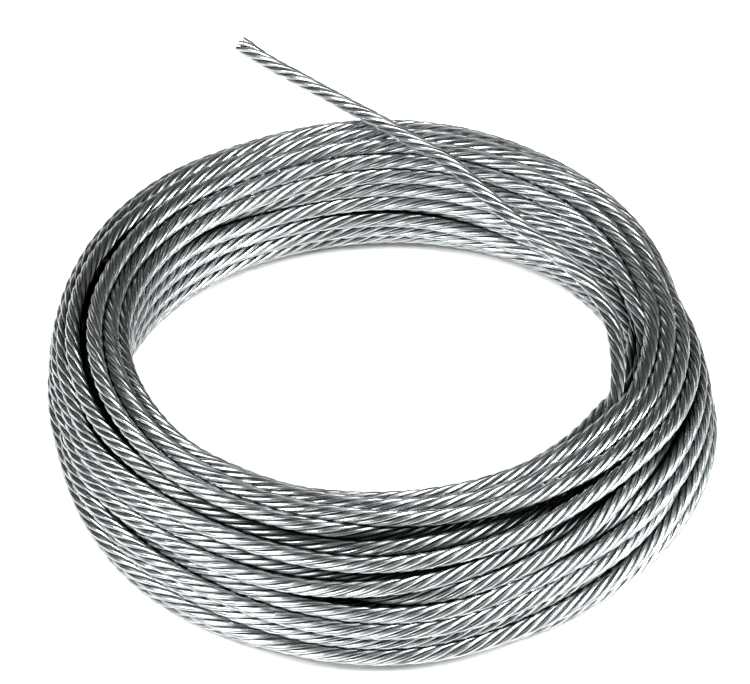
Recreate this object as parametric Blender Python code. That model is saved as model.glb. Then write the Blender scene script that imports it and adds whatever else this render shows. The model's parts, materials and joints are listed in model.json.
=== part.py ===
"""A coil of stranded steel wire rope, lying flat, with one end of the rope free across its back.

Lengths are in metres and +Z is up. The coil lies on z = 0, and the origin is the
middle of the footprint of the coil and the free end together.

The coil is one turned ring. Its section is the outline of the bundle, and each
turn that lies on the outside of the bundle shows there as a round ridge.
"""

import math

import bmesh
import bpy
from mathutils import Vector

# The rope
ROPE_DIAMETER = 0.006

# The coil, over the outside of its turns
COIL_OUTER_DIAMETER = 0.250
COIL_BORE_DIAMETER = 0.176
COIL_HEIGHT = 0.052

# The bundle's section: above its waist the outer side leans in, and below it the
# bore side stands back. The corner radius is taken through the turns' centres.
WAIST_HEIGHT = 0.026
TOP_SETBACK = 0.0065
FOOT_SETBACK = 0.0045
CORNER_RADIUS = 0.0070
TURN_PITCH = 0.0063

# Each ridge has a flat on its crown, and the two slopes beside it
RIDGE_FLAT = math.radians(40)
RIDGE_SLOPE = math.radians(40)
STEPS_ROUND = 48
STEPS_PER_CORNER = 12

# The free end, from where it leaves the top turn on the right to its cut tip.
# Each point is x and y from the coil's axis, and the height over a rope that lies
# on top of the coil.
END_ROUTE = (
    (0.0885, -0.0220, 0.0),
    (0.0864, -0.0060, 0.0),
    (0.0847, 0.0036, 0.0),
    (0.0808, 0.0143, 0.0),
    (0.0756, 0.0228, 0.0),
    (0.0667, 0.0324, 0.0),
    (0.0524, 0.0479, 0.0),
    (0.0379, 0.0674, 0.0),
    (0.0269, 0.0823, 0.0),
    (0.0136, 0.0950, 0.0),
    (-0.0035, 0.1105, 0.0),
    (-0.0172, 0.1220, 0.0),
    (-0.0310, 0.1342, 0.0),
    (-0.0430, 0.1446, 0.0),
    (-0.0540, 0.1560, 0.0),
)
END_POINT_SPACING = 0.0130
END_CLEARANCE = 0.0003

STEEL_COLOUR = (0.56, 0.58, 0.59, 1.0)
STEEL_ROUGHNESS = 0.32


def clear_scene():
    for obj in list(bpy.data.objects):
        bpy.data.objects.remove(obj, do_unlink=True)


def steel(name):
    material = bpy.data.materials.new(name)
    material.use_nodes = True
    shader = material.node_tree.nodes["Principled BSDF"]
    shader.inputs["Base Color"].default_value = STEEL_COLOUR
    shader.inputs["Roughness"].default_value = STEEL_ROUGHNESS
    shader.inputs["Metallic"].default_value = 1.0
    return material


def section_corners():
    """The corners of the bundle's section through the turns' centres, anticlockwise in (r, z)."""
    half = ROPE_DIAMETER / 2
    bore = COIL_BORE_DIAMETER / 2 + half
    outside = COIL_OUTER_DIAMETER / 2 - half
    top = COIL_HEIGHT - half
    return [
        Vector((bore + FOOT_SETBACK, half)),
        Vector((outside, half)),
        Vector((outside, WAIST_HEIGHT)),
        Vector((outside - TOP_SETBACK, top)),
        Vector((bore, top)),
        Vector((bore, WAIST_HEIGHT)),
    ]


def rounded(corners, radius):
    """(point, outward direction) along the closed outline with its corners rounded off."""
    outline = []
    for index, corner in enumerate(corners):
        before = (corners[index - 1] - corner).normalized()
        after = (corners[(index + 1) % len(corners)] - corner).normalized()
        half_angle = before.angle(after) / 2
        centre = corner + (before + after).normalized() * radius / math.sin(half_angle)
        start = math.atan2(before.x, -before.y)
        sweep = math.pi - 2 * half_angle
        for step in range(STEPS_PER_CORNER + 1):
            angle = start + sweep * step / STEPS_PER_CORNER
            outward = Vector((math.cos(angle), math.sin(angle)))
            outline.append((centre + outward * radius, outward))
    return outline


def spaced(outline, pitch):
    """Turns at an even pitch round the outline. The first sits in the middle of the foot."""
    ends = outline[1:] + outline[:1]
    spans = [(b[0] - a[0]).length for a, b in zip(outline, ends)]
    total = sum(spans)
    count = round(total / pitch)
    foot = sum(spans[:STEPS_PER_CORNER]) + spans[STEPS_PER_CORNER] / 2
    turns = []
    for index in range(count):
        distance = (foot + total * index / count) % total
        piece = 0
        while distance > spans[piece]:
            distance -= spans[piece]
            piece += 1
        share = distance / spans[piece]
        (start, start_out), (end, end_out) = outline[piece], ends[piece]
        outward = start_out.lerp(end_out, share).normalized()
        turns.append((start.lerp(end, share), outward))
    return turns


def coil_profile():
    """The closed outline of the bundle's section, anticlockwise in (r, z)."""
    crown = RIDGE_FLAT / 2
    radius = ROPE_DIAMETER / 2 / math.cos(crown)
    offsets = (-crown - RIDGE_SLOPE, -crown, crown, crown + RIDGE_SLOPE)
    profile = []
    for centre, outward in spaced(rounded(section_corners(), CORNER_RADIUS), TURN_PITCH):
        heading = math.atan2(outward.y, outward.x)
        for offset in offsets:
            angle = heading + offset
            profile.append(centre + Vector((math.cos(angle), math.sin(angle))) * radius)
    return profile


def make_coil(material):
    mesh = bpy.data.meshes.new("coil")
    shape = bmesh.new()
    points = [shape.verts.new((point.x, 0.0, point.y)) for point in coil_profile()]
    edges = [shape.edges.new(pair) for pair in zip(points, points[1:] + points[:1])]
    bmesh.ops.spin(
        shape,
        geom=points + edges,
        cent=(0.0, 0.0, 0.0),
        axis=(0.0, 0.0, 1.0),
        angle=2 * math.pi,
        steps=STEPS_ROUND,
        use_merge=True,
    )
    bmesh.ops.recalc_face_normals(shape, faces=shape.faces)
    shape.to_mesh(mesh)
    shape.free()
    mesh.shade_smooth()
    mesh.set_sharp_from_angle(angle=math.radians(45))
    mesh.materials.append(material)
    coil = bpy.data.objects.new("coil", mesh)
    bpy.context.collection.objects.link(coil)
    return coil


def end_points():
    """The free end's centre line: a smooth curve through its route, read at an even spacing."""
    level = COIL_HEIGHT + END_CLEARANCE + ROPE_DIAMETER / 2
    route = [Vector((x, y, level + rise)) for x, y, rise in END_ROUTE]
    first = route[0] * 2 - route[1]
    last = route[-1] * 2 - route[-2]
    guide = [first] + route + [last]
    fine = []
    for before, start, end, after in zip(guide, guide[1:], guide[2:], guide[3:]):
        for step in range(40):
            t = step / 40
            along = (end - before) * t
            bend = (before * 2 - start * 5 + end * 4 - after) * t**2
            twist = (start * 3 - before - end * 3 + after) * t**3
            fine.append(start + (along + bend + twist) / 2)
    fine.append(route[-1])
    spans = [(b - a).length for a, b in zip(fine, fine[1:])]
    total = sum(spans)
    count = max(2, round(total / END_POINT_SPACING))
    points = [fine[0]]
    walked = 0.0
    for start, end, span in zip(fine, fine[1:], spans):
        while len(points) < count and walked + span >= total * len(points) / count:
            share = (total * len(points) / count - walked) / span
            points.append(start.lerp(end, share))
        walked += span
    points.append(fine[-1])
    return points


def make_rope_end(material):
    curve = bpy.data.curves.new("rope_end", "CURVE")
    curve.dimensions = "3D"
    curve.bevel_depth = ROPE_DIAMETER / 2
    curve.bevel_resolution = 3
    curve.use_fill_caps = True
    spline = curve.splines.new("POLY")
    points = end_points()
    spline.points.add(len(points) - 1)
    for spot, point in zip(spline.points, points):
        spot.co = (point.x, point.y, point.z, 1.0)
    spline.use_smooth = True
    curve.materials.append(material)
    rope_end = bpy.data.objects.new("rope_end", curve)
    bpy.context.collection.objects.link(rope_end)
    return rope_end


def centre_footprint(pieces):
    """Moves the pieces so that the middle of their common footprint is at the origin."""
    bpy.context.view_layer.update()
    corners = [piece.matrix_world @ Vector(c) for piece in pieces for c in piece.bound_box]
    middle_x = (min(c.x for c in corners) + max(c.x for c in corners)) / 2
    middle_y = (min(c.y for c in corners) + max(c.y for c in corners)) / 2
    for piece in pieces:
        piece.location = (-middle_x, -middle_y, 0.0)


def main():
    clear_scene()
    coil = make_coil(steel("coil_steel"))
    rope_end = make_rope_end(steel("rope_end_steel"))
    centre_footprint([coil, rope_end])


main()
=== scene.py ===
"""The looks of a coil of stranded steel wire rope, laid out as a Blender add-on.

The rope is six strands of seven wires laid round a core strand. Its centre line is worked
out first: the turns of the coil, settled against each other, and then the free end. Geometry
Nodes then lay each strand along that line. Lengths are in metres unless a comment says that
they are in rope diameters, and +Z is up.
"""

import functools
import json
import math

import bmesh
import bpy
import numpy as np
from bpy.props import FloatProperty, FloatVectorProperty, IntProperty, PointerProperty
from mathutils import Euler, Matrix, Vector

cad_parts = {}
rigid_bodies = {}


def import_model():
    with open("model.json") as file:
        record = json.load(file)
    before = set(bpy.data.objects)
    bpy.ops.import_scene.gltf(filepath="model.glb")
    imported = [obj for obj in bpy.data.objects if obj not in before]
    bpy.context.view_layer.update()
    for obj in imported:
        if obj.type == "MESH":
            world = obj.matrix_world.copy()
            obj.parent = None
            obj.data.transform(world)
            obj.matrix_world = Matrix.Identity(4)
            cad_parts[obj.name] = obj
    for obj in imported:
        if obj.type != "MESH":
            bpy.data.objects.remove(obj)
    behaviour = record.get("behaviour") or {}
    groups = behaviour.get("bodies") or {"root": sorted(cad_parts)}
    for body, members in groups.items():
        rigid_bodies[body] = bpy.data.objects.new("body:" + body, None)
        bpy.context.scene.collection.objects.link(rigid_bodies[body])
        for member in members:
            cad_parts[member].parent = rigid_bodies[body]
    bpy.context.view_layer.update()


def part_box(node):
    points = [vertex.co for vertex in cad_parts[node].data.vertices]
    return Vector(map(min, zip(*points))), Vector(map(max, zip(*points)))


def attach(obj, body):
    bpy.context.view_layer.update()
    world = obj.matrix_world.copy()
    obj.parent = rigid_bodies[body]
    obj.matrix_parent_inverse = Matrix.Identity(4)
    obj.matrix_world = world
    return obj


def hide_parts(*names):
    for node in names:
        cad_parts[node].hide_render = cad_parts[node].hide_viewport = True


bl_info = {
    "name": "Wire Rope Coil",
    "version": (1, 0, 0),
    "blender": (4, 5, 0),
    "location": "View3D > Sidebar > Wire Rope",
    "description": "Makes a coil of stranded steel wire rope with one end free",
    "category": "Object",
}

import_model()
COIL_LOW, COIL_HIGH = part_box("coil")
COIL_AXIS = Vector(((COIL_LOW.x + COIL_HIGH.x) / 2, (COIL_LOW.y + COIL_HIGH.y) / 2, 0.0))

# The rope, in metres, and its radius in rope diameters
ROPE_DIAMETER = 0.006
HALF_ROPE = 0.5

# The bundle's section, in rope diameters. Angles go anticlockwise seen from above, in degrees:
# 0 is the right, 90 the back, 180 the left and 270 the front.
BACK = 90
OUTER_RADIUS = 20.63
OUTER_OVAL = 0.43
OUTER_NARROW_AT = 20
BORE_RADIUS = 15.0
BORE_SHIFT = 0.13
BORE_OVAL = 0.53
BORE_WIDE_AT = 45
MEAN_HEIGHT = 8.62
HEIGHT_TO_LEFT = 0.82
MEAN_LEAN = 0.75
LEAN_TO_FRONT = 0.96

# The section is a rounded box, squarer the higher its power, drawn in so many steps. Its depth is
# worked out as if no point were nearer its middle than the least reach, and nothing is divided by
# less than the smallest length.
SECTION_POWER = 2.6
SKIN_STEPS = 400
LEAST_REACH = 0.05
SMALLEST = 1e-6

# Where the section swells or sinks: angle, half width in degrees, and what it adds to the
# outer radius, the bore radius and the height
SWELLS = (
    (-62, 18, -0.35, 0.00, 0.00),
    (-10, 20, 0.60, 0.00, 0.00),
    (13, 10, -0.75, 0.00, 0.00),
    (40, 14, 0.30, 0.00, 0.00),
    (60, 25, 0.00, 0.25, 0.00),
    (118, 24, -0.65, 0.00, -0.45),
    (197, 12, -0.50, 0.00, 0.00),
    (228, 12, 0.00, 0.35, 0.00),
)

# The turns on the skin of the bundle, counted inward from the middle one, which is 0. A sweep is
# one round of the coil, and a turn moves three places outward over the top with each sweep, so
# that turn k becomes turn k - 3. The free end is where one of them leaves the coil.
SWEEP_START = 110
STATIONS = 72
SKIN_TURNS = 25
PLACES_PER_SWEEP = 3
FREE_TURN = 4

# Where the middle turn lies: angle of its sweep, and arc from the top middle of the section,
# towards the bore, in rope diameters
MIDDLE_TURN = (
    (110, 3.2),
    (140, 3.5),
    (160, 3.1),
    (180, 2.2),
    (200, 1.35),
    (220, 0.8),
    (240, 0.57),
    (270, 0.57),
    (290, 0.38),
    (310, 0.08),
    (330, -0.26),
    (350, -0.6),
    (370, -1.0),
    (390, -0.95),
    (420, -0.45),
    (450, 0.2),
    (470, 0.2),
)

# Where a turn ducks under its neighbours: turn, first and last angle of its sweep, and how many
# rope diameters it ducks
DUCKING = (
    (-11, 110, 205, 1.5),
    (-10, 110, 195, 0.7),
    (-9, 128, 206, 0.9),
    (-8, 110, 305, 1.0),
    (-7, 110, 255, 1.9),
    (-5, 285, 470, 1.0),
    (-2, 290, 420, 1.0),
    (-3, 308, 430, 1.8),
    (-6, 318, 430, 1.8),
    (-7, 336, 430, 0.9),
    (-10, 332, 440, 0.9),
    (-11, 322, 440, 0.7),
    (-1, 156, 176, 0.5),
    (1, 128, 215, 0.9),
    (3, 113, 200, 0.9),
    (7, 205, 345, 1.2),
)

# A turn goes down and comes up over a ramp, and is carried on into the next sweep. From a full
# duck on it takes up hardly any width on the skin.
DUCKING_RAMP = 22.0
CARRY_OVER = 30.0
FULL_DUCK = 0.9
DUCKED_WIDTH = 0.06

# Where two turns beside each other stand apart: the outer of the two, first and last angle of
# its sweep, and the room between them, in rope diameters
OPEN_GAPS = (
    (-4, 158, 212, 1.60),
    (-3, 145, 212, 1.50),
    (-12, 192, 232, 0.60),
    (-10, 250, 320, 0.20),
    (-7, 280, 315, 0.25),
    (-5, 245, 290, 0.20),
    (-1, 280, 350, 0.20),
    (0, 305, 365, 0.25),
    (-9, 320, 360, 0.25),
    (-4, 385, 420, 0.35),
    (1, 380, 415, 0.25),
    (-3, 425, 470, 0.45),
    (3, 398, 452, 0.75),
)
GAP_RAMP = 16.0

# The turns inside the bundle: how many sweeps they take, the places across and up in the section
# through which the rope climbs, how many of these it climbs in a sweep, and the share of the way
# to the next for which it stays level
CORE_SWEEPS = 4.39
CORE_PLACES = (
    (-0.55, 2.0),
    (0.55, 2.6),
    (-0.45, 3.3),
    (0.55, 4.1),
    (-0.4, 4.9),
    (0.3, 5.7),
)
CORE_CLIMB = 1.15
CORE_LEVEL_SHARE = 0.6

# The core strand is plain inside the rope, so it needs only a few rings of points in a lay length
CORE_RINGS_PER_LAY = 4

# Settling the turns against each other. In each round a turn is pulled towards its own place,
# strongly where it shows, and less in the late rounds. It is then smoothed along the rope and
# pushed off its neighbours, less where it shows than where it is hidden. From a depth on it
# counts as hidden.
SETTLING_ROUNDS = 260
FIRM_SHARE = 0.7
SHOWN_PULL = 0.14
HIDDEN_PULL = 0.02
LATE_PULL = 0.4
SHOWN_WEIGHT = 6.0
HIDDEN_FROM = 0.5
SMOOTHINGS = 2
STIFFNESS = 0.25
PUSHES = 3
CLEAR_OF_EACH_OTHER = 1.005
LARGEST_PUSH = 0.25

# The slow drift of the turns: how far, the stations from one chance value to the next, and the
# stations that it is averaged over
WANDER = 0.10
WANDER_SPACING = 9
WANDER_AVERAGED = 7
WANDER_SEED = 4

# The free end, from the bore side's top at the right to its cut tip. Its x and y, from the coil's
# axis, repeat the part's source, and its heights follow the visible turns.
END_ROUTE = (
    (0.0885, -0.0220, 0.0432),
    (0.0864, -0.0060, 0.0442),
    (0.0847, 0.0036, 0.0453),
    (0.0808, 0.0143, 0.0470),
    (0.0756, 0.0228, 0.0488),
    (0.0667, 0.0324, 0.0512),
    (0.0524, 0.0479, 0.0536),
    (0.0379, 0.0674, 0.0548),
    (0.0269, 0.0823, 0.0553),
    (0.0136, 0.0950, 0.0553),
    (-0.0035, 0.1105, 0.0553),
    (-0.0172, 0.1220, 0.0553),
    (-0.0310, 0.1342, 0.0553),
    (-0.0430, 0.1446, 0.0553),
    (-0.0540, 0.1560, 0.0553),
)

# How the last turn runs into it: the stations that the turn stops short and those over which it
# is drawn to the join, the join's radius and height in rope diameters, and the points before and
# after it that are eased
STATIONS_LEFT_OUT = 4
JOINING_STATIONS = 14
JOIN_PLACE = (15.9, 6.9)
EASED_BEFORE = 10
EASED_AFTER = 3

# For how many stations the free end still pushes turns aside, and how firmly it is held there
STATIONS_BESIDE = 9
HELD = 10.0

# Points of the finished line from one station to the next
LINE_STEPS = 5

# The camera, fitted to the photograph: its distance, its elevation and its lens, and the pixel
# at which the coil's axis meets the floor
IMAGE_SIZE = (750, 684)
SENSOR_WIDTH = 36.0
CAMERA_DISTANCE = 1.2
CAMERA_ELEVATION = math.radians(43.5)
FOCAL_PIXELS = 3220.0
AXIS_PIXEL = (379.2, 417.1)
CLIP_FROM, CLIP_TO = 0.05, 50.0

# The soft lights: name, angle round the coil and elevation in degrees, and strength
LIGHTS = (
    ("right", 338, 45, 1.70),
    ("overhead", 0, 80, 0.10),
    ("back", 90, 18, 0.08),
    ("left", 198, 45, 1.40),
    ("front left", 225, 40, 0.36),
    ("front right", 315, 20, 0.30),
)

# The floor: how far it reaches each way, and its finish
FLOOR_REACH = 6.0
FLOOR_ROUGHNESS = 0.9
FLOOR_SPECULAR = 0.1

# The strands' UV map lays a strand out in rows: where the strand starts along and up its row and
# how much it spans, as shares of the row, and the middle and radii of its cut ends beside it
BAKE_MAP = "OFBake"
BAKE_ROWS = 58
ROW_START, ROW_SPAN = 0.01, 0.96
ROW_FOOT, ROW_HEIGHT = 0.06, 0.82
CUT_MIDDLE, CUT_ACROSS, CUT_UP = 0.990, 0.006, 0.3

# Faces that meet at more than this keep a sharp edge
SHARP_ANGLE = math.radians(60)

# Wire stubs at the cut end: wires across a strand, a wire's thickness as a share of the room for
# it, the shortest stub as a share of the longest, the sides of a stub and the seed of its length
WIRES_ACROSS = 3
WIRE_FIT = 0.97
SHORTEST_STUB = 0.2
STUB_SIDES = 10
STUB_SEED = 3

# The wires' look. Shares of the rope's radius where the darkening of the grooves between the strands,
# grease and painted shade, ends and clean unshaded steel starts, and rope diameters under the
# bundle's skin where painted shade starts to darken the steel and where it is darkest.
GREASE_AND_SHADE_ENDS, CLEAN_AND_UNSHADED_STARTS = 0.67, 0.93
PAINTED_SHADE_FROM, PAINTED_SHADE_FULL_FROM = 0.34, 1.00
# Share of the steel's colour kept in the groove between two wires; the rest is grease and painted shade.
UNSHADED_IN_WIRE_GROOVE = 0.6
DULL_ROUGHNESS = 0.14
GREASE_ROUGHNESS = 0.25

# The streaks along the wires: the pattern's units in a metre of wire, its size and detail, the
# noise at which they are dullest and brightest, and their relief as a share of the wire's
STREAK_UNITS_PER_METRE = 60.0
STREAK_SCALE = 2.2
STREAK_DETAIL = 2.0
STREAK_DULL, STREAK_BRIGHT = 0.32, 0.68
STREAK_RELIEF = 0.08

# The cut wires' look: the size and detail of the scores, and the roughness between and on them
SCORE_SCALE = 4000.0
SCORE_DETAIL = 3.0
CUT_ROUGHNESS = 0.25
SCORE_ROUGHNESS = 0.25


def colour_setting(name, description, default):
    """A property for a colour."""
    words = {"name": name, "description": description}
    return FloatVectorProperty(**words, default=default, size=4, subtype="COLOR")


def length_setting(name, description, default):
    """A property for a length in metres."""
    return FloatProperty(name=name, description=description, default=default, unit="LENGTH")


class RopeSizes(bpy.types.PropertyGroup):
    """Sizes of the rope, its strands and its wires."""

    lay_length: length_setting("Lay length", "Length of rope in which a strand goes once round", 0.0396)
    strands: IntProperty(
        name="Strands",
        description="Strands laid round the core strand",
        default=6,
    )
    strand_diameter: length_setting("Strand diameter", "Diameter of one strand over its wires", 0.00196)
    wire_lay: length_setting(
        "Wire lay length",
        "Length of rope in which the wires go once round in their strand",
        0.060,
    )
    groove_share: FloatProperty(
        name="Groove share",
        description="Strand radius in the groove between two wires, as a share of its full radius",
        default=0.95,
    )
    wires: IntProperty(
        name="Wires",
        description="Wires on the outside of a strand",
        default=6,
    )
    splay: FloatProperty(
        name="Splay",
        description="How far the strands open at the cut end, as a share of their distance from the middle",
        default=0.30,
    )
    splay_length: length_setting(
        "Splay length",
        "Length of the rope's end over which the strands open",
        0.014,
    )
    samples_per_lay: IntProperty(
        name="Samples per lay",
        description="Rings of points along one lay length of a strand",
        default=12,
    )
    stub_length: length_setting(
        "Wire stub",
        "Furthest that a cut wire stands out of its strand's end",
        0.0007,
    )


class SteelLook(bpy.types.PropertyGroup):
    """Colours and gloss of the bright drawn wires."""

    bright: colour_setting(
        "Bright steel",
        "Colour of the wires where they are cleanest",
        (0.72, 0.755, 0.76, 1.0),
    )
    dull: colour_setting(
        "Dull steel",
        "Colour of the wires where they are dullest",
        (0.30, 0.32, 0.325, 1.0),
    )
    # Grease and painted shade: this colour is mixed in between the strands and wires, and deep in the
    # bundle, where the steel lies in shade.
    grease_and_shade: colour_setting(
        "Grease",
        "Colour of the steel deep between the strands",
        (0.025, 0.027, 0.028, 1.0),
    )
    roughness: FloatProperty(
        name="Roughness",
        description="Roughness of the clean wires",
        default=0.21,
    )
    wire_relief: length_setting(
        "Wire relief",
        "How far a wire's crown stands over the groove beside it",
        0.00005,
    )


class StageLook(bpy.types.PropertyGroup):
    """The floor and the studio light."""

    floor: colour_setting("Floor", "Colour of the floor", (0.90, 0.90, 0.90, 1.0))
    light_power: FloatProperty(
        name="Light",
        description="Power of one soft light at full strength",
        default=30.0,
        unit="POWER",
    )
    light_size: length_setting("Light size", "Diameter of a soft light", 0.8)
    light_distance: length_setting(
        "Light distance",
        "Distance of the lights from the middle of the coil",
        1.8,
    )
    surroundings: FloatProperty(
        name="Surroundings",
        description="Brightness of the light from all round",
        default=0.03,
    )


def wave(angle, peak=0.0, times=1):
    """1 at the angle of the peak and -1 half a wave further, with so many waves in a round."""
    return np.cos(np.radians(times * (np.asarray(angle, float) - peak)))


def ease(share):
    """0 to 1 with a level start and end."""
    share = np.clip(share, 0.0, 1.0)
    return share * share * (3.0 - 2.0 * share)


def section(angle):
    """Outer radius, bore radius, height and lean of the bundle at an angle, in rope diameters."""
    outer = OUTER_RADIUS - OUTER_OVAL * wave(angle, OUTER_NARROW_AT, 2)
    bore = BORE_RADIUS - BORE_SHIFT * wave(angle) + BORE_OVAL * wave(angle, BORE_WIDE_AT, 2)
    height = MEAN_HEIGHT - HEIGHT_TO_LEFT * wave(angle)
    for middle, half_width, more_outer, more_bore, more_height in SWELLS:
        away = (np.asarray(angle, float) - middle + 180) % 360 - 180
        share = np.exp(-((away / half_width) ** 2))
        outer = outer + more_outer * share
        bore = bore + more_bore * share
        height = height + more_height * share
    lean = MEAN_LEAN - LEAN_TO_FRONT * wave(angle, BACK)
    return outer, bore, height, lean


def skin(angle, depth):
    """Radius and height of points round the section at a depth under its skin.

    They start at the top middle and go down the bore's side first.
    """
    outer, bore, height, lean = section(angle)
    round_angle = math.pi / 2 + np.linspace(0.0, 2 * math.pi, SKIN_STEPS + 1)
    across, up = (
        np.sign(part) * np.abs(part) ** (2 / SECTION_POWER)
        for part in (np.cos(round_angle), np.sin(round_angle))
    )
    radius = (outer + bore) / 2 + ((outer - bore) / 2 - depth) * across - lean * up
    level = height / 2 + (height / 2 - depth) * up
    return np.stack([radius, level], axis=-1)


def by_stretches(turn, sweep, stretches, ramp):
    """The most that a turn's stretches ask for, by the angle of its sweep.

    A ramp lies across each end of a stretch, unless the stretch runs on into another sweep.
    """
    total = np.zeros_like(sweep)
    for owner, start, stop, most in stretches:
        if owner != turn:
            continue
        rise = ease((sweep - start) / ramp + 0.5) if start > SWEEP_START else 1.0
        fall = 1 - ease((sweep - stop) / ramp + 0.5) if stop < SWEEP_START + 360 else 1.0
        total = np.maximum(total, most * rise * fall)
    return total


def duck_depths(turns, sweep):
    """How far under the skin every turn lies, with no step where one sweep runs into the next."""
    depths = np.array([by_stretches(turn, sweep, DUCKING, DUCKING_RAMP) for turn in turns])
    for index in range(SKIN_TURNS):
        before = (index + PLACES_PER_SWEEP) % SKIN_TURNS
        leaving, entering = depths[before, -1], depths[index, 0]
        if leaving > entering:
            fade = 1 - ease((sweep - SWEEP_START) / CARRY_OVER)
            depths[index] = np.maximum(depths[index], leaving * fade)
        elif entering > leaving:
            fade = 1 - ease((SWEEP_START + 360 - sweep) / CARRY_OVER)
            depths[before] = np.maximum(depths[before], entering * fade)
    return depths


def arcs_round_skin(widths, apart, middle_arc, around):
    """Arc of each skin turn, from the top middle towards the bore.

    The turns outward of the middle one lie close, and those inward of it share what is left of
    the way round: they keep near their own spacing at first, and the foot takes the slack.
    """
    half = SKIN_TURNS // 2
    arcs = np.zeros(SKIN_TURNS)
    arcs[half] = middle_arc
    for index in range(half - 1, -1, -1):
        arcs[index] = arcs[index + 1] - (widths[index] + widths[index + 1]) / 2 - apart[index]
    gaps = (widths[half:-1] + widths[half + 1 :]) / 2
    closing = (widths[0] + widths[-1]) / 2
    room = around - (arcs[half] - arcs[0]) - apart[half:-1].sum()
    stretch = room / (gaps.sum() + closing)
    kept = np.linspace(1.0, 0.0, half) ** 0.5
    loosened = gaps * (1 + (stretch - 1) * (1 - kept))
    loosened *= (room - closing * stretch) / loosened.sum()
    arcs[half + 1 :] = arcs[half] + np.cumsum(loosened + apart[half:-1])
    return arcs


def skin_places():
    """Radius and height of each skin turn at each station of a sweep, and how much it shows."""
    half = SKIN_TURNS // 2
    sweep = SWEEP_START + np.arange(STATIONS) * 360 / STATIONS
    turns = range(-half, half + 1)
    depths = duck_depths(turns, sweep)
    apart = np.array([by_stretches(turn, sweep, OPEN_GAPS, GAP_RAMP) for turn in turns])
    widths = 1 - (1 - DUCKED_WIDTH) * np.clip(depths / FULL_DUCK, 0, 1)
    middle_arcs = np.interp(sweep, *np.array(MIDDLE_TURN, float).T)
    places = np.zeros((SKIN_TURNS, STATIONS, 3))
    places[..., 2] = 1 - np.clip(depths / HIDDEN_FROM, 0, 1)
    for station, angle in enumerate(sweep):
        steps = np.linalg.norm(np.diff(skin(angle, 0.0), axis=0), axis=1)
        walked = np.concatenate([[0.0], np.cumsum(steps)])
        arcs = arcs_round_skin(widths[:, station], apart[:, station], middle_arcs[station], walked[-1])
        arcs %= walked[-1]
        for turn, arc in enumerate(arcs):
            ring = skin(angle, HALF_ROPE + depths[turn, station])
            places[turn, station, :2] = [np.interp(arc, walked, ring[:, axis]) for axis in (0, 1)]
    return places


def threaded_skin():
    """The skin's places in the order in which the rope runs through them, up to the free end."""
    half = SKIN_TURNS // 2
    places = skin_places()
    join = round((360 - SWEEP_START) * STATIONS / 360)
    order = [(FREE_TURN + half + PLACES_PER_SWEEP * n) % SKIN_TURNS for n in range(SKIN_TURNS)]
    run = np.concatenate([places[order[0], join:]] + [places[turn] for turn in reversed(order)])
    run = run[: len(run) - (STATIONS - join) - STATIONS_LEFT_OUT]
    goal = np.array([*JOIN_PLACE, 1.0])
    share = np.linspace(0.0, 1.0, JOINING_STATIONS)[:, None] ** 2
    run[-JOINING_STATIONS:] = run[-JOINING_STATIONS:] * (1 - share) + goal * share
    return run


def free_end_beside_coil():
    """The free end's places where it still lies beside the coil, for the turns to keep clear of."""
    x, y, level = np.array(END_ROUTE).T / ROPE_DIAMETER
    step = 360 / STATIONS
    at = (np.arange(STATIONS_BESIDE) - STATIONS_LEFT_OUT) * step
    angle = np.append(at[0] - step, np.degrees(np.arctan2(y, x)))
    radius = np.interp(at, angle, np.append(JOIN_PLACE[0], np.hypot(x, y)))
    level = np.interp(at, angle, np.append(JOIN_PLACE[1], level))
    return np.stack([radius, level, np.full(len(at), HELD)], axis=-1)


def threaded_core():
    """The places of the turns inside the bundle, which the rope climbs before it reaches the skin."""
    count = round(CORE_SWEEPS * STATIONS)
    run = np.zeros((count, 3))
    for index in range(count):
        sweeps_left = (count - index) / STATIONS
        outer, bore, height, lean = section(-sweeps_left * 360)
        row = max(len(CORE_PLACES) - 1 - sweeps_left * CORE_CLIMB, 0.0)
        lower = int(row)
        upper = min(lower + 1, len(CORE_PLACES) - 1)
        share = ease((row - lower - CORE_LEVEL_SHARE) / (1 - CORE_LEVEL_SHARE))
        across, up = np.array(CORE_PLACES[lower]) * (1 - share) + np.array(CORE_PLACES[upper]) * share
        level = up * height / MEAN_HEIGHT
        run[index, :2] = (outer + bore) / 2 + across - lean * (2 * up / height - 1), level
    return run


def wander(count):
    """A slow seeded drift across and up, so that no two turns lie quite alike."""
    chance = np.random.default_rng(WANDER_SEED)
    knots = chance.normal(0.0, 1.0, (count // WANDER_SPACING + 3, 2))
    at = np.arange(count) / WANDER_SPACING
    drift = [np.interp(at, np.arange(len(knots)), knots[:, axis]) for axis in (0, 1)]
    average = np.full(WANDER_AVERAGED, 1 / WANDER_AVERAGED)
    smooth = [np.convolve(part, average, "same") for part in drift]
    return np.stack(smooth, axis=-1) * WANDER


def smoothed_along(run):
    """The run with each place drawn towards the middle of its neighbours, as a stiff rope lies."""
    for _ in range(SMOOTHINGS):
        middle = run[:-2] + run[2:] - 2 * run[1:-1]
        run = np.concatenate([run[:1], run[1:-1] + STIFFNESS * middle, run[-1:]])
    return run


def pushed_apart(grid, weight, first, second):
    """The turns at each station moved off each other where they are close, the lighter one further."""
    between = grid[second] - grid[first]
    distance = np.sqrt((between**2).sum(axis=-1))
    short = np.where(np.isfinite(distance), np.maximum(0.0, CLEAR_OF_EACH_OTHER - distance), 0.0)
    push = np.nan_to_num(between * (short / np.maximum(distance, SMALLEST))[..., None])
    both = (weight[first] + weight[second])[..., None]
    move = np.zeros_like(grid)
    np.add.at(move, first, -push * weight[second][..., None] / both)
    np.add.at(move, second, push * weight[first][..., None] / both)
    return grid + np.clip(move, -LARGEST_PUSH, LARGEST_PUSH)


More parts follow.
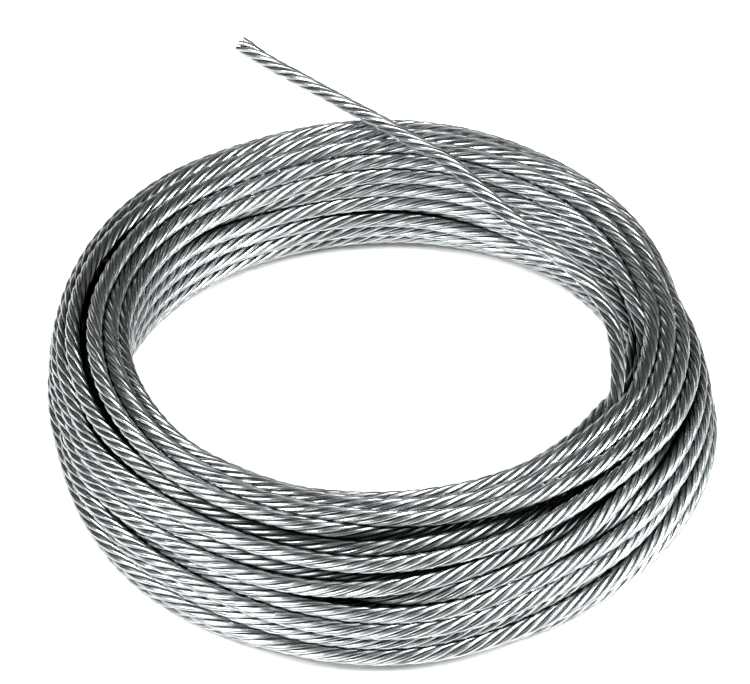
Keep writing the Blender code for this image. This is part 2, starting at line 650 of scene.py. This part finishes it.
def kept_inside(grid, outer, bore, height, lean):
    """The turns drawn half way back into the section where they stand out of it, and off the floor."""
    grid[..., 1] = np.where(grid[..., 1] < HALF_ROPE, HALF_ROPE, grid[..., 1])
    half_width, half_height = (outer - bore) / 2 - HALF_ROPE, height / 2 - HALF_ROPE
    up = (grid[..., 1] - height / 2) / half_height
    across = (grid[..., 0] - (outer + bore) / 2 + lean * up) / half_width
    reach = (np.abs(across) ** SECTION_POWER + np.abs(up) ** SECTION_POWER) ** (1 / SECTION_POWER)
    keep = np.where(reach > 1, (1 + 1 / np.maximum(reach, SMALLEST)) / 2, 1.0)
    level = height / 2 + up * keep * half_height
    radius = (outer + bore) / 2 - lean * up * keep + across * keep * half_width
    return np.where((reach > 1)[..., None], np.stack([radius, level], axis=-1), grid)


def settled(angles, run):
    """Radius and height along the run after its turns have found room beside and on each other.

    The run's places, with how much each shows, are laid out in a grid of a row for each sweep,
    so that places beside each other in the coil stand in one column.
    """
    sweeps = -(-len(run) // STATIONS)
    missing = sweeps * STATIONS - len(run)
    start = np.concatenate([np.full((missing, 2), np.nan), run[:, :2] + wander(len(run))])
    grid = start.reshape(sweeps, STATIONS, 2).copy()
    shown = np.concatenate([np.zeros(missing), run[:, 2]]).reshape(sweeps, STATIONS)
    weight = 1 + SHOWN_WEIGHT * shown
    pull = np.clip(HIDDEN_PULL + (SHOWN_PULL - HIDDEN_PULL) * shown, 0, 1)[..., None]
    target = grid.copy()
    shape = section(angles[-STATIONS:])
    first, second = np.triu_indices(sweeps, 1)
    for settling in range(SETTLING_ROUNDS):
        late = settling > SETTLING_ROUNDS * FIRM_SHARE
        grid += (target - grid) * (pull * LATE_PULL if late else pull)
        flat = grid.reshape(-1, 2)
        flat[missing:] = smoothed_along(flat[missing:])
        for _ in range(PUSHES):
            grid = kept_inside(pushed_apart(grid, weight, first, second), *shape)
    return grid.reshape(-1, 2)[missing:]


def curve_through(points, steps):
    """A smooth curve through points, with a number of steps from each to the next."""
    guide = np.vstack([2 * points[0] - points[1], points, 2 * points[-1] - points[-2]])
    share = np.linspace(0.0, 1.0, steps, endpoint=False)[:, None]
    pieces = []
    for before, start, end, after in zip(guide, guide[1:], guide[2:], guide[3:]):
        along = (end - before) * share
        bend = (2 * before - 5 * start + 4 * end - after) * share**2
        twist = (3 * start - before - 3 * end + after) * share**3
        pieces.append(start + (along + bend + twist) / 2)
    return np.concatenate(pieces + [points[-1:]])


@functools.lru_cache
def rope_line():
    """The rope's centre line, from its hidden inner end to its cut tip, as points in metres."""
    core = threaded_core()
    run = np.concatenate([core, threaded_skin(), free_end_beside_coil()])
    angles = (np.arange(len(run)) - len(core)) * 360 / STATIONS
    radius, level = settled(angles, run).T * ROPE_DIAMETER
    turns = np.stack([radius * wave(angles), radius * wave(angles, BACK), level], axis=-1)
    turns = turns[:-STATIONS_BESIDE]
    points = np.concatenate([turns, END_ROUTE])
    join = slice(len(turns) - EASED_BEFORE, len(turns) + EASED_AFTER)
    points[join] = smoothed_along(points[join])
    return curve_through(points, LINE_STEPS) + np.array(COIL_AXIS)


def length_of(line):
    """Length along a line of points."""
    return float(np.linalg.norm(np.diff(line, axis=0), axis=1).sum())


class Value:
    """A number that a node gives, so that maths with such numbers reads as Python."""

    def __init__(self, graph, socket):
        self.graph = graph
        self.socket = socket

    def maths(self, operation, *parts):
        settings = {"operation": operation}
        return self.graph.value("ShaderNodeMath", settings, dict(enumerate(parts)))

    def __add__(self, other):
        return self.maths("ADD", self, other)

    __radd__ = __add__

    def __mul__(self, other):
        return self.maths("MULTIPLY", self, other)

    __rmul__ = __mul__

    def __sub__(self, other):
        return self.maths("SUBTRACT", self, other)

    def __rsub__(self, other):
        return self.maths("SUBTRACT", other, self)

    def __truediv__(self, other):
        return self.maths("DIVIDE", self, other)

    def __mod__(self, other):
        return self.maths("FLOORED_MODULO", self, other)

    def __abs__(self):
        return self.maths("ABSOLUTE", self)

    def cosine(self):
        return self.maths("COSINE", self)

    def between(self, low, high):
        """0 at low and below, 1 at high and above, and smooth in between."""
        sockets = {"Value": self, "From Min": low, "From Max": high}
        settings = {"interpolation_type": "SMOOTHSTEP"}
        return self.graph.value("ShaderNodeMapRange", settings, sockets)


class Graph:
    """A node tree that is being filled."""

    def __init__(self, tree):
        self.tree = tree

    def node(self, kind, settings=None, sockets=None):
        """Adds a node: its settings first, and then the values or links of its sockets."""
        node = self.tree.nodes.new(kind)
        for name, setting in (settings or {}).items():
            setattr(node, name, setting)
        for name, given in (sockets or {}).items():
            if isinstance(given, Value):
                given = given.socket
            if isinstance(given, bpy.types.NodeSocket):
                self.tree.links.new(given, node.inputs[name])
            else:
                node.inputs[name].default_value = given
        return node

    def value(self, kind, settings=None, sockets=None, output=0):
        """Adds a node and returns one of its outputs as a number."""
        return Value(self, self.node(kind, settings, sockets).outputs[output])


def new_tree(name, inputs):
    """A Geometry Nodes tree with inputs of each kind, as (graph, its inputs' sockets by name)."""
    tree = bpy.data.node_groups.new(name, "GeometryNodeTree")
    tree.interface.new_socket("Geometry", in_out="INPUT", socket_type="NodeSocketGeometry")
    for kind, titles in inputs.items():
        for title in titles:
            tree.interface.new_socket(title, in_out="INPUT", socket_type=kind)
    tree.interface.new_socket("Geometry", in_out="OUTPUT", socket_type="NodeSocketGeometry")
    graph = Graph(tree)
    entry = graph.node("NodeGroupInput")
    return graph, {socket.name: socket for socket in entry.outputs if socket.name}


def finish_tree(graph, geometry, material):
    """Ends a tree in real geometry that carries its material."""
    real = graph.node("GeometryNodeRealizeInstances", sockets={"Geometry": geometry})
    sockets = {"Geometry": real.outputs["Geometry"], "Material": material}
    painted = graph.node("GeometryNodeSetMaterial", sockets=sockets)
    graph.node("NodeGroupOutput", sockets={"Geometry": painted.outputs["Geometry"]})
    return graph.tree


def kept_on_points(graph, geometry, name, kind, given):
    """Stores a value on each point under a name, and returns the geometry."""
    settings = {"data_type": kind, "domain": "POINT"}
    sockets = {"Geometry": geometry, "Name": name, "Value": given}
    return graph.node("GeometryNodeStoreNamedAttribute", settings, sockets).outputs["Geometry"]


def vector_maths(graph, operation, sockets, output="Vector"):
    """Adds a node of maths on vectors and returns one of its outputs."""
    return graph.node("ShaderNodeVectorMath", {"operation": operation}, sockets).outputs[output]


def kept_value(graph, kind, name):
    """Reads a value that was stored on the points, and returns its socket."""
    sockets = {"Name": name}
    node = graph.node("GeometryNodeInputNamedAttribute", {"data_type": kind}, sockets)
    return node.outputs["Attribute"]


def strand_profile(graph, inputs):
    """The outline of a strand: a crown for each outer wire and a groove between two."""
    wires = Value(graph, inputs["Wires"])
    sockets = {"Resolution": wires * 2, "Radius": 1.0}
    circle = graph.node("GeometryNodeCurvePrimitiveCircle", {"mode": "RADIUS"}, sockets)
    position = graph.node("GeometryNodeInputPosition").outputs["Position"]
    ring = kept_on_points(graph, circle.outputs["Curve"], "around", "FLOAT_VECTOR", position)
    in_groove = graph.value("GeometryNodeInputIndex") % 2
    full = Value(graph, inputs["Strand radius"])
    radius = full * (1 - in_groove * (1 - Value(graph, inputs["Groove share"])))
    place = vector_maths(graph, "SCALE", {0: position, "Scale": radius})
    sockets = {"Geometry": ring, "Position": place}
    return graph.node("GeometryNodeSetPosition", sockets=sockets).outputs["Geometry"]


def strand_line(graph, inputs):
    """The strand's own line, laid round the rope's and tilted as its wires turn.

    Every point keeps how far along the rope it is and where the rope's line was.
    """
    line = graph.node("GeometryNodeMeshToCurve", sockets={"Mesh": inputs["Geometry"]})
    sockets = {"Curve": line.outputs["Curve"], "Length": inputs["Spacing"]}
    line = graph.node("GeometryNodeResampleCurve", {"mode": "LENGTH"}, sockets).outputs["Curve"]
    line = graph.node("GeometryNodeSetCurveNormal", {"mode": "Z_UP"}, {"Curve": line}).outputs["Curve"]
    walked = graph.value("GeometryNodeSplineParameter", output="Length")
    line = kept_on_points(graph, line, "along", "FLOAT", walked)
    axis = graph.node("GeometryNodeInputPosition").outputs["Position"]
    line = kept_on_points(graph, line, "axis", "FLOAT_VECTOR", axis)

    along = Value(graph, kept_value(graph, "FLOAT", "along"))
    laid = (along / inputs["Lay length"] + inputs["Share of lay"]) * (-2 * math.pi)
    line = graph.node("GeometryNodeSetCurveTilt", sockets={"Curve": line, "Tilt": laid})
    past_tip = along - inputs["Rope length"]
    opening = past_tip.between(Value(graph, inputs["Splay length"]) * -1, 0.0) * inputs["Splay"]
    reach = (1 + opening) * inputs["Distance from middle"]
    normal = graph.node("GeometryNodeInputNormal").outputs["Normal"]
    offset = vector_maths(graph, "SCALE", {0: normal, "Scale": reach})
    sockets = {"Geometry": line.outputs["Curve"], "Offset": offset}
    line = graph.node("GeometryNodeSetPosition", sockets=sockets).outputs["Geometry"]
    turned = laid + along / inputs["Wire lay"] * (2 * math.pi)
    line = graph.node("GeometryNodeSetCurveTilt", sockets={"Curve": line, "Tilt": turned})
    return line.outputs["Curve"]


def strand_tree():
    """Lays one strand round the line of the rope, and turns its wires the other way as it goes."""
    graph, inputs = new_tree(
        "lay a strand",
        {
            "NodeSocketMaterial": ("Material",),
            "NodeSocketInt": ("Wires",),
            "NodeSocketFloat": (
                "Spacing",
                "Lay length",
                "Wire lay",
                "Share of lay",
                "Distance from middle",
                "Strand radius",
                "Groove share",
                "Rope length",
                "Splay",
                "Splay length",
            ),
        },
    )
    sockets = {
        "Curve": strand_line(graph, inputs),
        "Profile Curve": strand_profile(graph, inputs),
        "Fill Caps": True,
    }
    body = graph.node("GeometryNodeCurveToMesh", sockets=sockets).outputs["Mesh"]
    axis = kept_value(graph, "FLOAT_VECTOR", "axis")
    position = graph.node("GeometryNodeInputPosition").outputs["Position"]
    distance = vector_maths(graph, "DISTANCE", {0: position, 1: axis}, "Value")
    body = kept_on_points(graph, body, "from_axis", "FLOAT", distance)
    body = graph.node("GeometryNodeRemoveAttribute", sockets={"Geometry": body, "Name": "axis"})
    return finish_tree(graph, body.outputs["Geometry"], inputs["Material"])


def wire_end_tree():
    """Sets a short stub of wire on each point, along the point's own direction."""
    graph, inputs = new_tree(
        "set wire stubs",
        {
            "NodeSocketMaterial": ("Material",),
            "NodeSocketInt": ("Seed",),
            "NodeSocketFloat": ("Wire radius", "Shortest", "Longest"),
        },
    )
    # The cylinder is two long, so its scale is how far half of it stands out of the strand
    sockets = {"Vertices": STUB_SIDES, "Radius": inputs["Wire radius"], "Depth": 2.0}
    stub = graph.node("GeometryNodeMeshCylinder", sockets=sockets).outputs["Mesh"]
    sockets = {"Vector": kept_value(graph, "FLOAT_VECTOR", "aim")}
    turn = graph.node("FunctionNodeAlignRotationToVector", {"axis": "Z"}, sockets)
    random = graph.node("FunctionNodeRandomValue", {"data_type": "FLOAT"})
    for name, given in (("Min", inputs["Shortest"]), ("Max", inputs["Longest"])):
        floats = [socket for socket in random.inputs if socket.name == name and socket.type == "VALUE"]
        graph.tree.links.new(given, floats[0])
    graph.tree.links.new(inputs["Seed"], random.inputs["Seed"])
    length = [socket for socket in random.outputs if socket.type == "VALUE"][0]
    size = graph.node("ShaderNodeCombineXYZ", sockets={"X": 1.0, "Y": 1.0, "Z": length})
    sockets = {
        "Points": inputs["Geometry"],
        "Instance": stub,
        "Rotation": turn.outputs["Rotation"],
        "Scale": size.outputs["Vector"],
    }
    stubs = graph.node("GeometryNodeInstanceOnPoints", sockets=sockets)
    return finish_tree(graph, stubs.outputs["Instances"], inputs["Material"])


def grown(name, start, tree, inputs):
    """A plain mesh object that a Geometry Nodes tree makes from a start mesh."""
    piece = bpy.data.objects.new(name, start)
    bpy.context.collection.objects.link(piece)
    modifier = piece.modifiers.new("grow", "NODES")
    modifier.node_group = tree
    for item in tree.interface.items_tree:
        if item.in_out == "INPUT" and item.name in inputs:
            modifier[item.identifier] = inputs[item.name]
    depsgraph = bpy.context.evaluated_depsgraph_get()
    evaluated = piece.evaluated_get(depsgraph)
    mesh = bpy.data.meshes.new_from_object(evaluated, preserve_all_data_layers=True, depsgraph=depsgraph)
    piece.modifiers.clear()
    piece.data = mesh
    mesh.name = name
    bpy.data.meshes.remove(start)
    if not mesh.polygons:
        raise RuntimeError(f"{name} came out empty")
    return piece


def face_outward(mesh):
    """Turns all faces of closed shapes outward, and shades them smooth up to their cut edges."""
    shape = bmesh.new()
    shape.from_mesh(mesh)
    bmesh.ops.recalc_face_normals(shape, faces=shape.faces)
    shape.to_mesh(mesh)
    shape.free()
    mesh.shade_smooth()
    mesh.set_sharp_from_angle(angle=SHARP_ANGLE)


def depth_in_bundle(points):
    """How far under the bundle's skin points lie, in rope diameters, and less than 0 outside it."""
    x, y, z = (points - np.array(COIL_AXIS)).T / ROPE_DIAMETER
    outer, bore, height, lean = section(np.degrees(np.arctan2(y, x)))
    half_width, half_height = (outer - bore) / 2, height / 2
    up = z / half_height - 1
    across = (np.hypot(x, y) - (outer + bore) / 2 + lean * up) / half_width
    reach = (np.abs(across) ** SECTION_POWER + np.abs(up) ** SECTION_POWER) ** (1 / SECTION_POWER)
    reach = np.maximum(reach, LEAST_REACH)
    slopes = [
        np.abs(part / reach) ** (SECTION_POWER - 1) / half
        for part, half in ((across, half_width), (up, half_height))
    ]
    return (1 - reach) / np.hypot(*slopes)


def mark_depth(mesh):
    """Keeps on every point of a mesh how deep in the bundle it lies."""
    places = np.zeros(len(mesh.vertices) * 3)
    mesh.vertices.foreach_get("co", places)
    layer = mesh.attributes.new("depth", "FLOAT", "POINT")
    layer.data.foreach_set("value", depth_in_bundle(places.reshape(-1, 3)))


def line_mesh(name, line):
    """A mesh of points joined in a row."""
    mesh = bpy.data.meshes.new(name)
    mesh.from_pydata(line.tolist(), [(n, n + 1) for n in range(len(line) - 1)], [])
    return mesh


def values_of(mesh, name, size):
    """A named value of every point, as an array."""
    layer = mesh.attributes[name].data
    values = np.zeros(len(layer) * size)
    layer.foreach_get("vector" if size == 3 else "value", values)
    return values.reshape(-1, size)


def map_in_rows(mesh, length):
    """A UV map that lays the strand out in rows, each a stretch of its length.

    A face that crosses the seam runs on past the row's full height. Only the strand's two cut
    ends have more than four corners, and they lie at the ends of their rows.
    """
    around = values_of(mesh, "around", 3)
    along = values_of(mesh, "along", 1)[:, 0]
    turn = (np.arctan2(around[:, 1], around[:, 0]) / (2 * math.pi)) % 1.0
    corner = np.zeros(len(mesh.loops), np.int64)
    mesh.loops.foreach_get("vertex_index", corner)
    starts = np.zeros(len(mesh.polygons), np.int64)
    mesh.polygons.foreach_get("loop_start", starts)
    counts = np.diff(np.append(starts, len(corner)))
    across, down = turn[corner], along[corner]
    wraps = np.maximum.reduceat(across, starts) - np.minimum.reduceat(across, starts) > 0.5
    cut = np.repeat(counts > 4, counts)
    across = np.where(np.repeat(wraps, counts) & (across < 0.5) & ~cut, across + 1.0, across)
    stretch = length / BAKE_ROWS
    row = np.repeat(np.add.reduceat(down, starts) / counts // stretch, counts)
    row = np.clip(row, 0, BAKE_ROWS - 1)
    u = ROW_START + ROW_SPAN * (down - row * stretch) / stretch
    v = (row + ROW_FOOT + ROW_HEIGHT * across) / BAKE_ROWS
    u = np.where(cut, CUT_MIDDLE + CUT_ACROSS * around[corner, 0], u)
    v = np.where(cut, (row + 0.5 + CUT_UP * around[corner, 1]) / BAKE_ROWS, v)
    layer = mesh.uv_layers.new(name=BAKE_MAP)
    layer.data.foreach_set("uv", np.stack([u, v], axis=-1).ravel())


def new_material(name):
    """A material with nodes, as (material, its graph, its shader)."""
    material = bpy.data.materials.new(name)
    material.use_nodes = True
    return material, Graph(material.node_tree), material.node_tree.nodes["Principled BSDF"]


def colour_between(graph, share, first, second):
    """A colour that goes from the first to the second as a share goes from 0 to 1."""
    factor, first_colour, second_colour, mixed_colour = 0, 6, 7, 2
    sockets = {factor: share, first_colour: first, second_colour: second}
    return graph.node("ShaderNodeMix", {"data_type": "RGBA"}, sockets).outputs[mixed_colour]


def grain(graph):
    """Streaks that run along the wires, from 0 to 1, and the angle round the strand."""
    around = graph.node("ShaderNodeAttribute", {"attribute_name": "around"})
    along = graph.value("ShaderNodeAttribute", {"attribute_name": "along"}, output="Fac")
    parts = graph.node("ShaderNodeSeparateXYZ", sockets={"Vector": around.outputs["Vector"]})
    across, up = (Value(graph, parts.outputs[name]) for name in ("X", "Y"))
    sockets = {"X": across, "Y": up, "Z": along * STREAK_UNITS_PER_METRE}
    place = graph.node("ShaderNodeCombineXYZ", sockets=sockets).outputs["Vector"]
    sockets = {"Vector": place, "Scale": STREAK_SCALE, "Detail": STREAK_DETAIL}
    streaks = graph.value("ShaderNodeTexNoise", {"noise_dimensions": "3D"}, sockets)
    angle = across.maths("ARCTAN2", up, across)
    return streaks.between(STREAK_DULL, STREAK_BRIGHT), angle


def steel_material(name, look, sizes):
    """Bright drawn wires, streaked along their length.

    They are darkened by grease and painted shade between the strands and between the wires, and by painted
    shade deep in the bundle.
    """
    material, graph, shader = new_material(name)
    streaks, angle = grain(graph)
    crown = abs((angle * (sizes.wires / 2)).cosine())
    from_axis = graph.value("ShaderNodeAttribute", {"attribute_name": "from_axis"}, output="Fac")
    edge = ROPE_DIAMETER / 2
    # Grease and painted shade: the faces turned in towards the rope's middle, between the strands, are
    # darkened.
    outward = from_axis.between(edge * GREASE_AND_SHADE_ENDS, edge * CLEAN_AND_UNSHADED_STARTS)
    depth = graph.value("ShaderNodeAttribute", {"attribute_name": "depth"}, output="Fac")
    # Painted shade: the deeper the steel lies under the bundle's skin, the darker it is painted.
    open_to_light = 1 - depth.between(PAINTED_SHADE_FROM, PAINTED_SHADE_FULL_FROM)
    # Grease and painted shade in the grooves between the wires, where the crown is low.
    clean_and_unshaded = outward * (UNSHADED_IN_WIRE_GROOVE + (1 - UNSHADED_IN_WIRE_GROOVE) * crown) * open_to_light

    wires = colour_between(graph, streaks, tuple(look.dull), tuple(look.bright))
    colour = colour_between(graph, clean_and_unshaded, tuple(look.grease_and_shade), wires)
    graph.tree.links.new(colour, shader.inputs["Base Color"])
    roughness = look.roughness + DULL_ROUGHNESS * (1 - streaks) + GREASE_ROUGHNESS * (1 - outward)
    graph.tree.links.new(roughness.socket, shader.inputs["Roughness"])
    height = crown + STREAK_RELIEF * streaks
    sockets = {"Height": height, "Distance": look.wire_relief, "Strength": 1.0}
    bump = graph.node("ShaderNodeBump", sockets=sockets)
    graph.tree.links.new(bump.outputs["Normal"], shader.inputs["Normal"])
    shader.inputs["Metallic"].default_value = 1.0
    return material


def cut_material(name, look):
    """Freshly cut wire: finely scored by the cutter."""
    material, graph, shader = new_material(name)
    place = graph.node("ShaderNodeTexCoord").outputs["Object"]
    sockets = {"Vector": place, "Scale": SCORE_SCALE, "Detail": SCORE_DETAIL}
    scores = graph.value("ShaderNodeTexNoise", {"noise_dimensions": "3D"}, sockets)
    colour = colour_between(graph, scores, tuple(look.dull), tuple(look.bright))
    graph.tree.links.new(colour, shader.inputs["Base Color"])
    roughness = CUT_ROUGHNESS + SCORE_ROUGHNESS * scores
    graph.tree.links.new(roughness.socket, shader.inputs["Roughness"])
    shader.inputs["Metallic"].default_value = 1.0
    return material


def make_strand(name, sizes, look, share, from_middle, spacing):
    """One strand of the rope along its whole length."""
    inputs = {
        "Material": bpy.data.materials.get("drawn wires") or steel_material("drawn wires", look, sizes),
        "Spacing": spacing,
        "Lay length": sizes.lay_length,
        "Wire lay": sizes.wire_lay,
        "Share of lay": share,
        "Distance from middle": from_middle,
        "Strand radius": sizes.strand_diameter / 2,
        "Groove share": sizes.groove_share,
        "Wires": sizes.wires,
        "Rope length": length_of(rope_line()),
        "Splay": sizes.splay,
        "Splay length": sizes.splay_length,
    }
    tree = bpy.data.node_groups.get("lay a strand") or strand_tree()
    strand = grown(name, line_mesh(name, rope_line()), tree, inputs)
    face_outward(strand.data)
    mark_depth(strand.data)
    map_in_rows(strand.data, inputs["Rope length"])
    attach(strand, "root")
    return strand


class ROPE_OT_camera(bpy.types.Operator):
    """Sets the camera where the photograph was taken from"""

    bl_idname = "wire_rope.camera"
    bl_label = "Set the camera"

    def execute(self, context):
        camera = bpy.data.cameras.new("camera")
        camera.sensor_fit = "HORIZONTAL"
        camera.sensor_width = SENSOR_WIDTH
        camera.lens = FOCAL_PIXELS * SENSOR_WIDTH / IMAGE_SIZE[0]
        camera.clip_start = CLIP_FROM
        camera.clip_end = CLIP_TO
        right, down = (AXIS_PIXEL[n] - IMAGE_SIZE[n] / 2 for n in (0, 1))
        aim_up = math.atan(down / FOCAL_PIXELS)
        aim_left = math.atan(right / FOCAL_PIXELS)
        eye = bpy.data.objects.new("camera", camera)
        level, up = math.cos(CAMERA_ELEVATION), math.sin(CAMERA_ELEVATION)
        eye.location = COIL_AXIS + Vector((0.0, -level, up)) * CAMERA_DISTANCE
        eye.rotation_euler = Euler((math.pi / 2 - CAMERA_ELEVATION + aim_up, 0.0, aim_left))
        context.collection.objects.link(eye)
        context.scene.camera = eye
        return {"FINISHED"}


class ROPE_OT_strands(bpy.types.Operator):
    """Lays the outer strands along the whole rope"""

    bl_idname = "wire_rope.strands"
    bl_label = "Lay the strands"

    def execute(self, context):
        sizes = context.scene.rope_sizes
        look = context.scene.steel_look
        spacing = sizes.lay_length / sizes.samples_per_lay
        from_middle = (ROPE_DIAMETER - sizes.strand_diameter) / 2
        for number in range(sizes.strands):
            share = number / sizes.strands
            name = f"strand_{number + 1}"
            strand = make_strand(name, sizes, look, share, from_middle, spacing)
            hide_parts("coil", "rope_end")
        return {"FINISHED"}


class ROPE_OT_core_strand(bpy.types.Operator):
    """Lays the straight strand in the rope's middle"""

    bl_idname = "wire_rope.core_strand"
    bl_label = "Lay the core strand"

    def execute(self, context):
        sizes = context.scene.rope_sizes
        look = context.scene.steel_look
        spacing = sizes.lay_length / CORE_RINGS_PER_LAY
        core = make_strand("core_strand", sizes, look, 0.0, 0.0, spacing)
        return {"FINISHED"}


def cut_faces():
    """Centre, direction and crown points of each strand's cut end."""
    faces = []
    for strand in [piece for piece in bpy.data.objects if "strand" in piece.name]:
        mesh = strand.data
        along = values_of(mesh, "along", 1)[:, 0]
        rings = np.unique(along)
        places = np.array([vertex.co for vertex in mesh.vertices])
        last, before = (places[along == ring] for ring in (rings[-1], rings[-2]))
        centre = last.mean(axis=0)
        aim = centre - before.mean(axis=0)
        reach = np.linalg.norm(last - centre, axis=1)
        crowns = last[reach > (reach.max() + reach.min()) / 2]
        faces.append((centre, aim / np.linalg.norm(aim), crowns))
    return faces


class ROPE_OT_wire_ends(bpy.types.Operator):
    bl_idname = "wire_rope.wire_ends"
    bl_label = "Set the wire ends"

    def execute(self, context):
        sizes = context.scene.rope_sizes
        look = context.scene.steel_look
        points, aims = [], []
        for centre, aim, crowns in cut_faces():
            outer = [(crown - centre) * (WIRES_ACROSS - 1) / WIRES_ACROSS for crown in crowns]
            points += [centre] + [centre + offset for offset in outer]
            aims += [aim] * (len(crowns) + 1)
        start = bpy.data.meshes.new("wire_ends")
        start.from_pydata([tuple(point) for point in points], [], [])
        layer = start.attributes.new("aim", "FLOAT_VECTOR", "POINT")
        layer.data.foreach_set("vector", np.array(aims).ravel())
        inputs = {
            "Material": cut_material("cut wires", look),
            "Wire radius": sizes.strand_diameter / (2 * WIRES_ACROSS) * WIRE_FIT,
            "Shortest": sizes.stub_length * SHORTEST_STUB,
            "Longest": sizes.stub_length,
            "Seed": STUB_SEED,
        }
        ends = grown("wire_ends", start, wire_end_tree(), inputs)
        face_outward(ends.data)
        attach(ends, "root")
        declare_rope()
        return {"FINISHED"}


def declare_rope():
    line = rope_line()


def floor_material(colour):
    """A matt pale sweep."""
    material, _, shader = new_material("floor")
    shader.inputs["Base Color"].default_value = tuple(colour)
    shader.inputs["Roughness"].default_value = FLOOR_ROUGHNESS
    shader.inputs["Specular IOR Level"].default_value = FLOOR_SPECULAR
    return material


def add_soft_light(name, angle, elevation, strength, look):
    """A round soft light that faces the coil, at an angle round it and an elevation in degrees."""
    light = bpy.data.lights.new(name, "AREA")
    light.shape = "DISK"
    light.size = look.light_size
    light.energy = look.light_power * strength
    lamp = bpy.data.objects.new(name, light)
    turn, rise = math.radians(angle), math.radians(elevation)
    aim = Vector((math.cos(turn) * math.cos(rise), math.sin(turn) * math.cos(rise), math.sin(rise)))
    lamp.location = COIL_AXIS + aim * look.light_distance
    lamp.rotation_euler = aim.to_track_quat("Z", "Y").to_euler()
    lamp.visible_camera = False
    bpy.context.collection.objects.link(lamp)


class ROPE_OT_stage(bpy.types.Operator):
    """Lays the pale floor and sets the studio lights"""

    bl_idname = "wire_rope.stage"
    bl_label = "Set the stage"

    def execute(self, context):
        look = context.scene.stage_look
        mesh = bpy.data.meshes.new("floor")
        signs = ((-1, -1), (1, -1), (1, 1), (-1, 1))
        corners = [(across * FLOOR_REACH, back * FLOOR_REACH, 0.0) for across, back in signs]
        mesh.from_pydata(corners, [], [(0, 1, 2, 3)])
        mesh.materials.append(floor_material(look.floor))
        floor = bpy.data.objects.new("floor", mesh)
        context.collection.objects.link(floor)
        for name, angle, elevation, strength in LIGHTS:
            add_soft_light(name, angle, elevation, strength, look)
        world = bpy.data.worlds.new("surroundings")
        world.use_nodes = True
        background = world.node_tree.nodes["Background"]
        background.inputs["Color"].default_value = (1.0, 1.0, 1.0, 1.0)
        background.inputs["Strength"].default_value = look.surroundings
        context.scene.world = world
        context.scene.view_settings.view_transform = "Standard"
        return {"FINISHED"}


class ROPE_PT_panel(bpy.types.Panel):
    """Lists what makes the coil and the sizes it reads"""

    bl_label = "Wire Rope Coil"
    bl_idname = "ROPE_PT_panel"
    bl_space_type = "VIEW_3D"
    bl_region_type = "UI"
    bl_category = "Wire Rope"

    def draw(self, context):
        for operator in OPERATORS:
            self.layout.operator(operator.bl_idname)
        for title, group in GROUPS.items():
            box = self.layout.box()
            box.label(text=group.__doc__)
            for name in group.__annotations__:
                box.prop(getattr(context.scene, title), name)


OPERATORS = (ROPE_OT_camera, ROPE_OT_strands, ROPE_OT_core_strand, ROPE_OT_wire_ends, ROPE_OT_stage)
GROUPS = {"rope_sizes": RopeSizes, "steel_look": SteelLook, "stage_look": StageLook}


def register():
    for item in (*GROUPS.values(), *OPERATORS, ROPE_PT_panel):
        bpy.utils.register_class(item)
    for title, group in GROUPS.items():
        setattr(bpy.types.Scene, title, PointerProperty(type=group))


def unregister():
    for title in GROUPS:
        delattr(bpy.types.Scene, title)
    for item in reversed((*GROUPS.values(), *OPERATORS, ROPE_PT_panel)):
        bpy.utils.unregister_class(item)


def main():
    register()
    bpy.ops.wire_rope.camera()
    bpy.ops.wire_rope.strands()
    bpy.ops.wire_rope.core_strand()
    bpy.ops.wire_rope.wire_ends()
    bpy.ops.wire_rope.stage()


if __name__ == "__main__":
    main()
